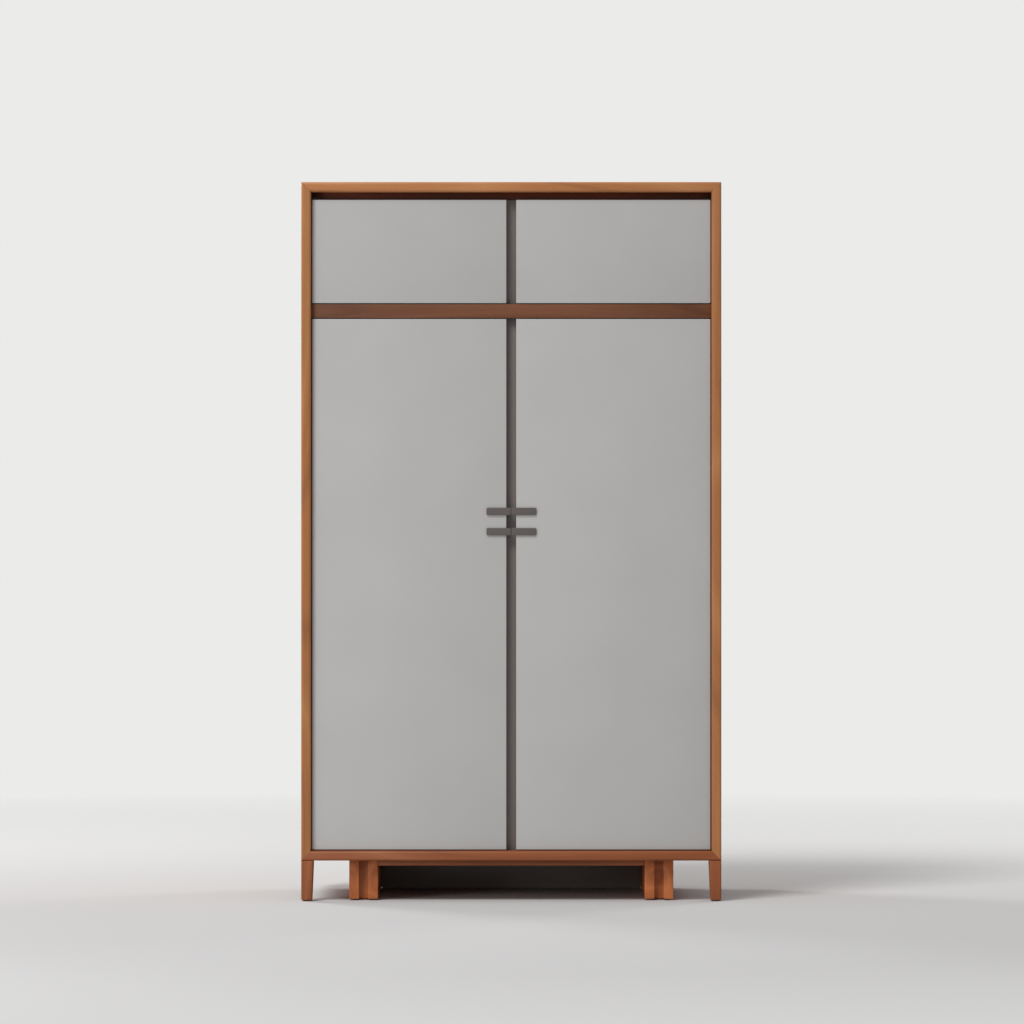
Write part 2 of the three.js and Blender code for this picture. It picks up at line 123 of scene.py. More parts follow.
class ArmoireFinish(bpy.types.PropertyGroup):
    """Colours of the finishes"""

    cherry_light: colour_property("Cherry, light", "Early wood between the rings", "#be8150")
    cherry: colour_property("Cherry", "Main tone of the case", "#b07243")
    cherry_dark: colour_property("Cherry, dark", "Late wood and flecks", "#925a31")
    # The pale cherry tones are painted light: the top panel is drawn lighter than the case, as if
    # lit more from above.
    pale_light: colour_property("Pale cherry, light", "Early wood of the top panel", "#cc8d5a")
    pale: colour_property("Pale cherry", "Main tone of the top panel", "#c07e4c")
    pale_dark: colour_property("Pale cherry, dark", "Late wood of the top panel", "#a0663b")
    # The ruddy cherry tones are partly painted shade: the bottom panel, legs and apron rail are
    # drawn deeper than the case, as if shaded.
    ruddy_light: colour_property("Ruddy cherry, light", "Early wood of bottom and legs", "#a0603d")
    ruddy: colour_property("Ruddy cherry", "Main tone of the bottom panel and legs", "#94532e")
    ruddy_dark: colour_property("Ruddy cherry, dark", "Late wood of bottom and legs", "#783f21")
    russet_light: colour_property("Russet cherry, light", "Early wood of runner feet", "#c27342")
    russet: colour_property("Russet cherry", "Main tone of the runner feet", "#b46537")
    russet_dark: colour_property("Russet cherry, dark", "Late wood of the runner feet", "#954f27")
    stained_light: colour_property("Stained cherry, light", "Early wood of the mid rail", "#805037")
    stained: colour_property("Stained cherry", "Main tone of the mid rail", "#73462e")
    stained_dark: colour_property("Stained cherry, dark", "Late wood of the mid rail", "#57311f")
    # The reveal rail tones are painted shade: a nearly black board stands for the shadow in the gap
    # over the doors.
    shadow_tone_light: colour_property("Fumed cherry, light", "Early wood of the reveal rail", "#672c12")
    fumed: colour_property("Fumed cherry", "Main tone of the reveal rail", "#59240b")
    shadow_tone_dark: colour_property("Fumed cherry, dark", "Late wood of the reveal rail", "#421906")
    veneer_light: colour_property("Veneer, light", "Early wood inside the case", "#bb9068")
    veneer: colour_property("Veneer", "Main tone inside the case", "#ae845c")
    veneer_dark: colour_property("Veneer, dark", "Late wood inside the case", "#9a7250")
    door_grey: colour_property("Door grey", "Lacquer on the doors", "#b6b5b4")
    post_grey: colour_property("Post grey", "Lacquer on the centre posts", "#746b67")
    plinth_grey: colour_property("Plinth grey", "Lacquer on the plinth panel", "#857b76")
    pull_grey: colour_property("Pull grey", "Powder coat on the pulls", "#5f5856")
    black_steel: colour_property("Black steel", "Hinge leaves and top brackets", "#3b3330")
    zinc: colour_property("Zinc", "Plated steel fittings", "#b9babb")
    glide_brown: colour_property("Glide brown", "Moulded glides", "#6e4a31")


# ------------------------------------------------------------------ materials


def add_node(tree, kind, settings=None, links=None):
    """Adds a shader node.

    A setting is a property of the node, the value of an input, or a colour ramp's stops.
    A link comes from a socket, or from the first output of a node.
    """
    node = tree.nodes.new(kind)
    for key, value in (settings or {}).items():
        if key == "stops":
            elements = node.color_ramp.elements
            while len(elements) < len(value):
                elements.new(0.5)
            for element, (position, colour) in zip(elements, value):
                element.position, element.color = position, colour
        elif isinstance(key, int) or key in node.inputs:
            node.inputs[key].default_value = value
        else:
            setattr(node, key, value)
    for key, source in (links or {}).items():
        output = source.outputs[0] if isinstance(source, bpy.types.Node) else source
        tree.links.new(output, node.inputs[key])
    return node


def new_material(name):
    """An empty material, its node tree, and the position on the object for its patterns."""
    material = bpy.data.materials.new(name)
    material.use_nodes = True
    tree = material.node_tree
    tree.nodes.clear()
    return material, tree, add_node(tree, "ShaderNodeTexCoord").outputs["Object"]


def pattern_scale(across, along=None, grain=None):
    """Mapping scale for a pattern's real widths: across the grain's axis, and along it."""
    return [1 / (along if axis == grain else across) for axis in "XYZ"]


def shade(colour, level):
    """A colour at a share of its brightness."""
    return (*[level * channel for channel in colour[:3]], 1.0)


def sawn_wood(name, grain, light, main, dark, roughness):
    """Planed and oiled wood: long figure from the growth rings, short fibres, small dark flecks."""
    material, tree, place = new_material(name)

    # Growth figure: bands about 15 mm apart that wander over 1.4 m of length.
    scale = pattern_scale(130 * MM, 1400 * MM, grain)
    spot = add_node(tree, "ShaderNodeMapping", {"Scale": scale}, {"Vector": place})
    settings = {"Scale": 1.0, "Detail": 1.5, "Roughness": 0.4, "Distortion": 0.15}
    figure = add_node(tree, "ShaderNodeTexNoise", settings, {"Vector": spot})
    settings = {"operation": "MULTIPLY", 1: RING_COUNT}
    counted = add_node(tree, "ShaderNodeMath", settings, {0: figure})
    settings = {"operation": "PINGPONG", 1: 1.0}
    rings = add_node(tree, "ShaderNodeMath", settings, {0: counted})
    late = [0.55 * m + 0.45 * d for m, d in zip(main, dark)]
    stops = [(0.0, light), (0.45, main), (0.75, main), (1.0, late)]
    colour = add_node(tree, "ShaderNodeValToRGB", {"stops": stops}, {"Fac": rings})

    # Slow change of tone from one part of a board to the next.
    scale = pattern_scale(260 * MM, 900 * MM, grain)
    spot = add_node(tree, "ShaderNodeMapping", {"Scale": scale}, {"Vector": place})
    settings = {"Scale": 1.0, "Detail": 1.0}
    patches = add_node(tree, "ShaderNodeTexNoise", settings, {"Vector": spot})
    stops = [(0.3, shade(WHITE, 0.88)), (0.7, WHITE)]
    even = add_node(tree, "ShaderNodeValToRGB", {"stops": stops}, {"Fac": patches})
    multiply = {"data_type": "RGBA", "blend_type": "MULTIPLY", 0: 1.0}
    toned = add_node(tree, "ShaderNodeMix", multiply, {6: colour, 7: even})

    # Fibres 1.4 mm wide: real ones are ten times finer, and are drawn coarser so that they show.
    scale = pattern_scale(1.4 * MM, 90 * MM, grain)
    spot = add_node(tree, "ShaderNodeMapping", {"Scale": scale}, {"Vector": place})
    settings = {"Scale": 1.0, "Detail": 3.0, "Roughness": 0.6}
    fibres = add_node(tree, "ShaderNodeTexNoise", settings, {"Vector": spot})
    stops = [(0.3, shade(WHITE, 0.84)), (0.62, WHITE)]
    streaks = add_node(tree, "ShaderNodeValToRGB", {"stops": stops}, {"Fac": fibres})
    fibrous = add_node(tree, "ShaderNodeMix", multiply, {6: toned.outputs[2], 7: streaks})

    # Gum flecks, 2 mm wide and 16 mm long, on a small part of the surface.
    scale = pattern_scale(2.2 * MM, 16 * MM, grain)
    spot = add_node(tree, "ShaderNodeMapping", {"Scale": scale}, {"Vector": place})
    settings = {"Scale": 1.0, "Detail": 2.0}
    flecks = add_node(tree, "ShaderNodeTexNoise", settings, {"Vector": spot})
    settings = {"From Min": 0.66, "From Max": 0.74, "To Min": 0.0, "To Max": 0.45}
    amount = add_node(tree, "ShaderNodeMapRange", settings, {"Value": flecks})
    settings = {"data_type": "RGBA", 7: dark}
    flecked = add_node(tree, "ShaderNodeMix", settings, {0: amount, 6: fibrous.outputs[2]})

    settings = {
        "From Min": 0.3,
        "From Max": 0.7,
        "To Min": roughness + 0.06,
        "To Max": roughness - 0.06,
    }
    gloss = add_node(tree, "ShaderNodeMapRange", settings, {"Value": fibres})
    settings = {"Distance": 0.12 * MM, "Strength": 0.45}
    relief = add_node(tree, "ShaderNodeBump", settings, {"Height": fibres})
    settings = {"IOR": 1.48, "Specular IOR Level": 0.35}
    links = {"Base Color": flecked.outputs[2], "Roughness": gloss, "Normal": relief}
    surface = add_node(tree, "ShaderNodeBsdfPrincipled", settings, links)
    add_node(tree, "ShaderNodeOutputMaterial", None, {"Surface": surface})
    return material


def sprayed_lacquer(name, colour, roughness):
    """Sprayed lacquer on board: even colour, faint ripple from the gun, slow changes of gloss."""
    material, tree, place = new_material(name)

    # Clouds 240 mm across, where the coats lie a little thicker or thinner.
    scale = pattern_scale(240 * MM)
    spot = add_node(tree, "ShaderNodeMapping", {"Scale": scale}, {"Vector": place})
    settings = {"Scale": 1.0, "Detail": 3.0}
    cloud = add_node(tree, "ShaderNodeTexNoise", settings, {"Vector": spot})
    stops = [(0.3, shade(colour, 0.965)), (0.7, colour)]
    tint = add_node(tree, "ShaderNodeValToRGB", {"stops": stops}, {"Fac": cloud})
    settings = {
        "From Min": 0.3,
        "From Max": 0.7,
        "To Min": roughness - 0.04,
        "To Max": roughness + 0.05,
    }
    gloss = add_node(tree, "ShaderNodeMapRange", settings, {"Value": cloud})

    # Ripple 5 mm across, as a spray gun leaves it.
    scale = pattern_scale(5 * MM)
    spot = add_node(tree, "ShaderNodeMapping", {"Scale": scale}, {"Vector": place})
    settings = {"Scale": 1.0, "Detail": 1.0}
    ripple = add_node(tree, "ShaderNodeTexNoise", settings, {"Vector": spot})
    settings = {"Distance": 0.05 * MM, "Strength": 0.25}
    relief = add_node(tree, "ShaderNodeBump", settings, {"Height": ripple})

    settings = {"IOR": 1.5, "Coat Weight": 0.1, "Coat Roughness": 0.25, "Coat IOR": 1.5}
    links = {"Base Color": tint, "Roughness": gloss, "Normal": relief}
    surface = add_node(tree, "ShaderNodeBsdfPrincipled", settings, links)
    add_node(tree, "ShaderNodeOutputMaterial", None, {"Surface": surface})
    return material


def gritty_surface(name, colour, settings, scale, low_tone, rough, depth):
    """A surface with one fine pattern in its colour, gloss and relief."""
    material, tree, place = new_material(name)
    spot = add_node(tree, "ShaderNodeMapping", {"Scale": scale}, {"Vector": place})
    grit = add_node(tree, "ShaderNodeTexNoise", {"Scale": 1.0, "Detail": 2.0}, {"Vector": spot})
    stops = [(0.33, shade(colour, low_tone)), (0.67, colour)]
    tone = add_node(tree, "ShaderNodeValToRGB", {"stops": stops}, {"Fac": grit})
    spread = {"From Min": 0.3, "From Max": 0.7, "To Min": rough[0], "To Max": rough[1]}
    gloss = add_node(tree, "ShaderNodeMapRange", spread, {"Value": grit})
    bumps = {"Distance": depth, "Strength": 0.4}
    relief = add_node(tree, "ShaderNodeBump", bumps, {"Height": grit})
    links = {"Base Color": tone, "Roughness": gloss, "Normal": relief}
    surface = add_node(tree, "ShaderNodeBsdfPrincipled", settings, links)
    add_node(tree, "ShaderNodeOutputMaterial", None, {"Surface": surface})
    return material


def powder_coat(name, colour):
    """Powder coat baked on steel: matt, with a fine even grit 0.8 mm across, drawn to show."""
    scale = pattern_scale(0.8 * MM)
    return gritty_surface(name, colour, {"IOR": 1.5}, scale, 0.9, (0.44, 0.56), 0.06 * MM)


def plated_steel(name, colour, grain):
    """Brushed steel, then plated: the shine is drawn out by lines 0.5 mm wide, drawn to show."""
    scale = pattern_scale(0.5 * MM, 30 * MM, grain)
    return gritty_surface(name, colour, {"Metallic": 1.0}, scale, 0.88, (0.24, 0.4), 0.03 * MM)


def moulded_plastic(name, colour):
    """Injection-moulded polyamide: matt brown with a fine texture from the mould, 1 mm across."""
    scale = pattern_scale(1.0 * MM)
    return gritty_surface(name, colour, {"IOR": 1.53}, scale, 0.94, (0.45, 0.6), 0.05 * MM)


def material(name):
    """The finish of that name, made the first time that it is asked for."""
    if name in bpy.data.materials:
        return bpy.data.materials[name]
    finish = bpy.context.scene.armoire_finish
    kind, _, grain = name.rpartition("_along_")
    woods = {
        # Cherry, planed and oiled: warm orange brown with a soft satin sheen.
        "oiled_cherry": (finish.cherry_light, finish.cherry, finish.cherry_dark),
        # A lighter, yellower copy of the same for the top panel: painted light, for the lamps
        # catching the top board from above.
        "highlit_cherry": (finish.pale_light, finish.pale, finish.pale_dark),
        # A redder, deeper copy of the same: the red is the wood's own, and the extra depth is
        # painted shade on the low parts.
        "ruddy_cherry": (finish.ruddy_light, finish.ruddy, finish.ruddy_dark),
        # Cherry with the sun's red in it: a clear orange red.
        "russet_cherry": (finish.russet_light, finish.russet, finish.russet_dark),
        # Cherry under brown stain: dark, with the figure just readable.
        "stained_cherry": (finish.stained_light, finish.stained, finish.stained_dark),
        # Cherry drawn nearly black: painted shade that makes the gap over the doors look deep.
        "fumed_cherry": (finish.shadow_tone_light, finish.fumed, finish.shadow_tone_dark),
        # Cherry veneer under matt varnish: paler and quieter than the case.
        "cherry_veneer": (finish.veneer_light, finish.veneer, finish.veneer_dark),
    }
    if kind in woods:
        tones = [tuple(tone) for tone in woods[kind]]
        return sawn_wood(name, grain, *tones, roughness=0.46)
    makers = {
        # Light grey lacquer: flat and calm, with a dull sheen.
        "satin_grey_lacquer": lambda: sprayed_lacquer(name, tuple(finish.door_grey), 0.42),
        # Warm dark grey lacquer, a little more matt than the doors.
        "dark_grey_lacquer": lambda: sprayed_lacquer(name, tuple(finish.post_grey), 0.46),
        # The same in a lighter grey, because it is only seen in shade.
        "mid_grey_lacquer": lambda: sprayed_lacquer(name, tuple(finish.plinth_grey), 0.46),
        # Powder-coated steel: dark, dry and without a highlight.
        "grey_brown_powder_coat": lambda: powder_coat(name, tuple(finish.pull_grey)),
        # Blackened steel: dark metal whose edges still glint.
        "blackened_steel": lambda: plated_steel(name, tuple(finish.black_steel), "X"),
        # Zinc-plated steel: cool, bright and finely lined.
        "zinc_plated_steel": lambda: plated_steel(name, tuple(finish.zinc), "X"),
        # Moulded polyamide: dull brown, close to the wood above it.
        "moulded_polyamide": lambda: moulded_plastic(name, tuple(finish.glide_brown)),
    }
    return makers[name]()


# ------------------------------------------------------------------ modelling by operators


def only(piece):
    """Selects one object and makes it active."""
    bpy.ops.object.select_all(action="DESELECT")
    piece.select_set(True)
    bpy.context.view_layer.objects.active = piece


@contextmanager
def editing(piece):
    """Edit mode on one piece."""
    only(piece)
    bpy.ops.object.mode_set(mode="EDIT")
    yield
    bpy.ops.object.mode_set(mode="OBJECT")


def pick(kind, test):
    """In edit mode, selects only the vertices, edges or faces that pass a test."""
    bpy.ops.mesh.select_mode(type=kind)
    bpy.ops.mesh.select_all(action="DESELECT")
    data = bpy.context.edit_object.data
    mesh = bmesh.from_edit_mesh(data)
    for element in {"VERT": mesh.verts, "EDGE": mesh.edges, "FACE": mesh.faces}[kind]:
        if test(element):
            element.select_set(True)
    mesh.select_flush_mode()
    bmesh.update_edit_mesh(data)


def settle():
    """Puts the active object's place and turn into its mesh."""
    bpy.ops.object.transform_apply(location=True, rotation=True, scale=True)


def box_piece(name, low, high):
    """A box between two corners, to be shaped further."""
    low, high = Vector(low), Vector(high)
    bpy.ops.object.select_all(action="DESELECT")
    bpy.ops.mesh.primitive_cube_add(size=1, location=(low + high) / 2, scale=high - low)
    piece = bpy.context.active_object
    piece.name = name
    settle()
    return piece


TURNS = {"X": (0, math.pi / 2, 0), "Y": (math.pi / 2, 0, 0), "Z": (0, 0, 0)}


def round_piece(name, centre, axis, radius, depth, sides=40, caps="NGON"):
    """A cylinder along an axis, to be shaped further."""
    bpy.ops.object.select_all(action="DESELECT")
    bpy.ops.mesh.primitive_cylinder_add(
        vertices=sides,
        radius=radius,
        depth=depth,
        end_fill_type=caps,
        location=centre,
        rotation=TURNS[axis],
    )
    piece = bpy.context.active_object
    piece.name = name
    settle()
    return piece


def apply_last_modifier(piece):
    bpy.ops.object.modifier_apply(modifier=piece.modifiers[-1].name)


def cut(piece, cutter):
    """Cuts one piece with another, which is used up."""
    only(piece)
    bpy.ops.object.modifier_add(type="BOOLEAN")
    boolean = piece.modifiers[-1]
    boolean.operation = "DIFFERENCE"
    boolean.solver = "EXACT"
    boolean.object = cutter
    apply_last_modifier(piece)
    bpy.data.objects.remove(cutter)


def cut_box(piece, low, high):
    cut(piece, box_piece("cutter", low, high))


def ease(piece, width, segments=2, angle=40):
    """Rounds the edges sharper than an angle, and shades the piece smooth across the rest."""
    only(piece)
    bpy.ops.object.modifier_add(type="BEVEL")
    bevel = piece.modifiers[-1]
    bevel.width = width
    bevel.segments = segments
    bevel.limit_method = "ANGLE"
    bevel.angle_limit = math.radians(angle)
    apply_last_modifier(piece)
    smooth(piece, angle)


def smooth(piece, angle=40):
    only(piece)
    bpy.ops.object.shade_smooth_by_angle(angle=math.radians(angle))


def attach(piece, body, finish):
    """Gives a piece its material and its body."""
    piece.data.materials.clear()
    piece.data.materials.append(material(finish))
    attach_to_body(piece, body)


def hand_over(piece, node, finish):
    """Puts a finished piece on the frame in a CAD node's stead."""
    attach(piece, BODY_OF[node], finish)
    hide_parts(node)


def place_copies(piece, nodes, finish, mirrored=()):
    """Hands over a piece in the first node's place, and a copy of it in each of the others'.

    Every copy has its own mesh. A copy for a node in mirrored is turned left to right.
    """
    first_low, first_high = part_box(nodes[0])
    for node in (*nodes[1:], *mirrored):
        only(piece)
        bpy.ops.object.duplicate()
        copy = bpy.context.active_object
        copy.name = f"finished_{node}"
        start = first_low
        if node in mirrored:
            copy.scale.x = -1
            settle()
            with editing(copy):
                bpy.ops.mesh.select_all(action="SELECT")
                bpy.ops.mesh.normals_make_consistent(inside=False)
            start = Vector((-first_high.x, first_low.y, first_low.z))
        copy.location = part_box(node)[0] - start
        settle()
        hand_over(copy, node, finish)
    hand_over(piece, nodes[0], finish)


def leaf_space(leaf):
    """The corners of the mortise for a hinge leaf, open past the end of the wood it lies in."""
    low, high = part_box(leaf)
    low, high = low - Vector((FIT, FIT, 0)), high + Vector((FIT, FIT, 0))
    if leaf.endswith("_door_leaf_bottom"):
        low.z -= PAST
    if leaf.endswith("_door_leaf_top"):
        high.z += PAST
    return low, high


def squared_board(nodes, finish, width, mortises=()):
    """A flat board with softly eased edges, in the place of each CAD board of that size."""
    low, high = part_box(nodes[0])
    piece = box_piece(f"finished_{nodes[0]}", low, high)
    ease(piece, width)
    for leaf in mortises:
        cut_box(piece, *leaf_space(leaf))
    smooth(piece)
    place_copies(piece, nodes, finish)


# ------------------------------------------------------------------ the pieces


def mitre_planes(node):
    """A point on each mitre and the direction that is cut away, for one case board."""
    corners = [(side, CASE_HIGH.z) for side in (-1, 1)] + [(side, CASE_FLOOR) for side in (-1, 1)]
    half = -CASE_LOW.x
    planes = []
    for side, z in corners:
        upward = 1 if z == CASE_HIGH.z else -1
        point = Vector((side * half, 0, z))
        if node == f"{'left' if side < 0 else 'right'}_side_panel":
            planes.append((point, Vector((-side, 0, upward))))
        elif node == ("top_panel" if upward > 0 else "bottom_panel"):
            planes.append((point, Vector((side, 0, -upward))))
    return planes


class ARMOIRE_OT_case_boards(bpy.types.Operator):
    """Make the four case boards, with rounded front edges and mitred ends"""

    bl_idname = "armoire.case_boards"
    bl_label = "Case boards"

    def execute(self, context):
        self.make(context, "left_side_panel", "oiled_cherry", "Z", ["right_side_panel"])
        # The top panel takes the lighter cherry: painted light on the top board.
        self.make(context, "top_panel", "highlit_cherry", "X")
        # The bottom panel takes the deeper cherry: painted shade on the low board.
        self.make(context, "bottom_panel", "ruddy_cherry", "X")
        return {"FINISHED"}

    def make(self, context, node, wood, grain, mirrored=()):
        shapes = context.scene.armoire_shapes
        low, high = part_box(node)
        piece = box_piece(f"finished_{node}", low, high)
        with editing(piece):
            self.round_nose(low.y, "XYZ".index(grain), shapes.nose)
            for point, direction in mitre_planes(node):
                bpy.ops.mesh.select_all(action="SELECT")
                bpy.ops.mesh.bisect(
                    plane_co=point, plane_no=direction, use_fill=True, clear_outer=True
                )
        self.cut_rebate(piece)
        ease(piece, shapes.board_ease)
        if node == "bottom_panel":
            for name in SIDES:
                cut_box(piece, *leaf_space(f"lower_{name}_frame_leaf_bottom"))
        smooth(piece)
        place_copies(piece, [node], f"{wood}_along_{grain}", mirrored)

    def round_nose(self, front, axis, radius):
        """Rounds the two long front edges, which leaves a flat strip between them."""

        def is_long_front_edge(edge):
            a, b = (vert.co for vert in edge.verts)
            return max(a.y, b.y) < front + 1e-5 and abs(a[axis] - b[axis]) > 0.5

        pick("EDGE", is_long_front_edge)
        bpy.ops.mesh.bevel(offset=radius, segments=10, profile=0.5, affect="EDGES")

    def cut_rebate(self, piece):
        low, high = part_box("back_panel")
        grown = Vector((FIT, FIT, FIT))
        cut_box(piece, low - grown, high + grown + Vector((0, PAST, 0)))


class ARMOIRE_OT_face(bpy.types.Operator):
    """Make the mid rail, the reveal rail and the dark centre posts"""

    bl_idname = "armoire.face"
    bl_label = "Face of the case"

    def execute(self, context):
        leaves = [f"lower_{name}_frame_leaf_top" for name in SIDES]
        leaves += [f"upper_{name}_frame_leaf_bottom" for name in SIDES]
        squared_board(["mid_rail"], "stained_cherry_along_X", 1.2 * MM, leaves)
        # The reveal rail is drawn nearly black: painted shade in the gap over the doors.
        squared_board(["top_reveal_rail"], "fumed_cherry_along_X", 0.8 * MM)
        squared_board(["lower_centre_post"], "dark_grey_lacquer", 0.8 * MM)
        self.upper_post()
        return {"FINISHED"}

    def upper_post(self):
        """The upper post is thinned at its top, where it laps over the reveal rail."""
        low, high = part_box("upper_centre_post")
        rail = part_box("top_reveal_rail")[0]
        piece = box_piece("finished_upper_centre_post", low, high)
        cut_box(piece, (low.x - PAST, rail.y, rail.z), high + Vector((PAST, PAST, PAST)))
        ease(piece, 0.8 * MM)
        hand_over(piece, "upper_centre_post", "dark_grey_lacquer")


class ARMOIRE_OT_inside(bpy.types.Operator):
    """Make the fixed shelf, the dividers, the three shelves and the back panel"""

    bl_idname = "armoire.inside"
    bl_label = "Inside boards"

    def execute(self, context):
        for nodes in (["fixed_shelf"], ["shelf_1", "shelf_2", "shelf_3"]):
            squared_board(nodes, "cherry_veneer_along_X", 1.0 * MM)
        for node in ("upper_divider", "lower_divider"):
            squared_board([node], "cherry_veneer_along_Z", 0.8 * MM)
        self.back_panel()
        return {"FINISHED"}

    def back_panel(self):
        """The back panel sits a little below the edges of its rebate, as room for screw heads."""
        low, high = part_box("back_panel")
        piece = box_piece("finished_back_panel", low, high - Vector((0, BACK_SINK, 0)))
        ease(piece, 0.5 * MM)
        hand_over(piece, "back_panel", "cherry_veneer_along_Z")


class ARMOIRE_OT_base(bpy.types.Operator):
    """Make the corner legs, the runner feet, the plinth panel, the apron rail and the glides"""

    bl_idname = "armoire.base"
    bl_label = "Base"

    def execute(self, context):
        self.legs(context.scene.armoire_shapes.leg_round)
        self.runner_feet()
        self.glides()
        squared_board(["plinth_panel"], "mid_grey_lacquer", 1.0 * MM)
        # The apron rail takes the deeper cherry: painted shade under the bottom panel.
        squared_board(["apron_rail"], "ruddy_cherry_along_X", 2.5 * MM)
        return {"FINISHED"}

    def legs(self, radius):
        """A leg tapered on its inner and rear faces, with rounded upright edges."""
        node = "front_left_leg"
        low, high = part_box(node)
        taper = (31 / 35, 52 / 70, 1)  # the width and depth at the floor against those on top
        piece = box_piece(f"finished_{node}", low, (high.x, high.y, CASE_FLOOR))
        with editing(piece):
            pick("FACE", lambda face: face.normal.z < -0.9)
            bpy.ops.transform.resize(value=taper, center_override=low)
            pick("EDGE", lambda edge: abs(edge.verts[0].co.z - edge.verts[1].co.z) > 50 * MM)
            bpy.ops.mesh.bevel(offset=radius, segments=6, profile=0.5, affect="EDGES")
        ease(piece, 0.8 * MM)
        # The legs take the deeper cherry: painted shade on the low parts.
        place_copies(piece, [node], "ruddy_cherry_along_Z", ["front_right_leg"])

    def runner_feet(self):
        """Two cheeks with the web between them set back at both ends."""
        nodes = [f"{name}_runner_foot" for name in SIDES]
        low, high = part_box(nodes[0])
        high.z = CASE_FLOOR
        cheek, setback = 28 * MM, 22 * MM
        piece = box_piece(f"finished_{nodes[0]}", low, high)
        for y0, y1 in ((low.y - PAST, low.y + setback), (high.y - setback, high.y + PAST)):
            start = (low.x + cheek, y0, low.z - PAST)
            cut_box(piece, start, (high.x - cheek, y1, high.z + PAST))
        ease(piece, 1.6 * MM, segments=3)
        place_copies(piece, nodes, "russet_cherry_along_Y")

    def glides(self):
        nodes = [f"front_{name}_glide" for name in SIDES]
        low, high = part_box(nodes[0])
        radius = (high.x - low.x) / 2
        disc = round_piece(f"finished_{nodes[0]}", (low + high) / 2, "Z", radius, high.z - low.z)
        ease(disc, 0.8 * MM)
        place_copies(disc, nodes, "moulded_polyamide")
        strips = [f"{name}_runner_glide" for name in SIDES]
        squared_board(strips, "moulded_polyamide", 0.8 * MM)


class ARMOIRE_OT_doors(bpy.types.Operator):
    """Make the four lacquered doors, with rounded edges and mortises for their hinges"""

    bl_idname = "armoire.doors"
    bl_label = "Doors"

    def execute(self, context):
        width = context.scene.armoire_shapes.door_ease
        for level in LEVELS:
            self.pair(f"{level}_left_door", f"{level}_right_door", width)
        return {"FINISHED"}

    def pair(self, node, opposite, width):
        low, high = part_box(node)
        piece = box_piece(f"finished_{node}", low, high)
        with editing(piece):
            bpy.ops.mesh.select_all(action="SELECT")
            bpy.ops.mesh.bevel(offset=width, segments=4, profile=0.5, affect="EDGES")
        for end in ("bottom", "top"):
            cut_box(piece, *leaf_space(f"{node}_leaf_{end}"))
        smooth(piece)
        place_copies(piece, [node], "satin_grey_lacquer", [opposite])


class ARMOIRE_OT_pulls(bpy.types.Operator):
    """Make the four tab pulls, each bent back along the edge of its door"""

    bl_idname = "armoire.pulls"
    bl_label = "Tab pulls"

    def execute(self, context):
        shapes = context.scene.armoire_shapes
        left, right = [[f"{name}_{place}_pull" for place in LEVELS] for name in SIDES]
        low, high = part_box(left[0])
        edge = DOOR_HIGH.x
        lip = 2.5 * MM
        piece = box_piece(f"finished_{left[0]}", low, (high.x, DOOR_FACE, high.z))
        with editing(piece):
            pick("EDGE", lambda e: abs(e.verts[0].co.y - e.verts[1].co.y) > 1 * MM)
            bpy.ops.mesh.bevel(
                offset=shapes.pull_corner, segments=6, profile=0.5, affect="EDGES"
            )
            for x in (edge, edge + lip):
                bpy.ops.mesh.select_all(action="SELECT")
                bpy.ops.mesh.bisect(plane_co=(x, 0, 0), plane_no=(1, 0, 0))
            middle = edge + lip / 2

            def is_lip_root(face):
                centre = face.calc_center_median()
                return face.normal.y > 0.9 and abs(centre.x - middle) < lip / 2

            pick("FACE", is_lip_root)
            bpy.ops.mesh.extrude_region_move(
                TRANSFORM_OT_translate={"value": (0, high.y - DOOR_FACE, 0)}
            )
            middle_height = (0, 0, (low.z + high.z) / 2)
            bpy.ops.transform.resize(value=(1, 1, 0.9), center_override=middle_height)
        ease(piece, shapes.pull_ease, segments=3, angle=50)
        place_copies(piece, left, "grey_brown_powder_coat", right)
        return {"FINISHED"}


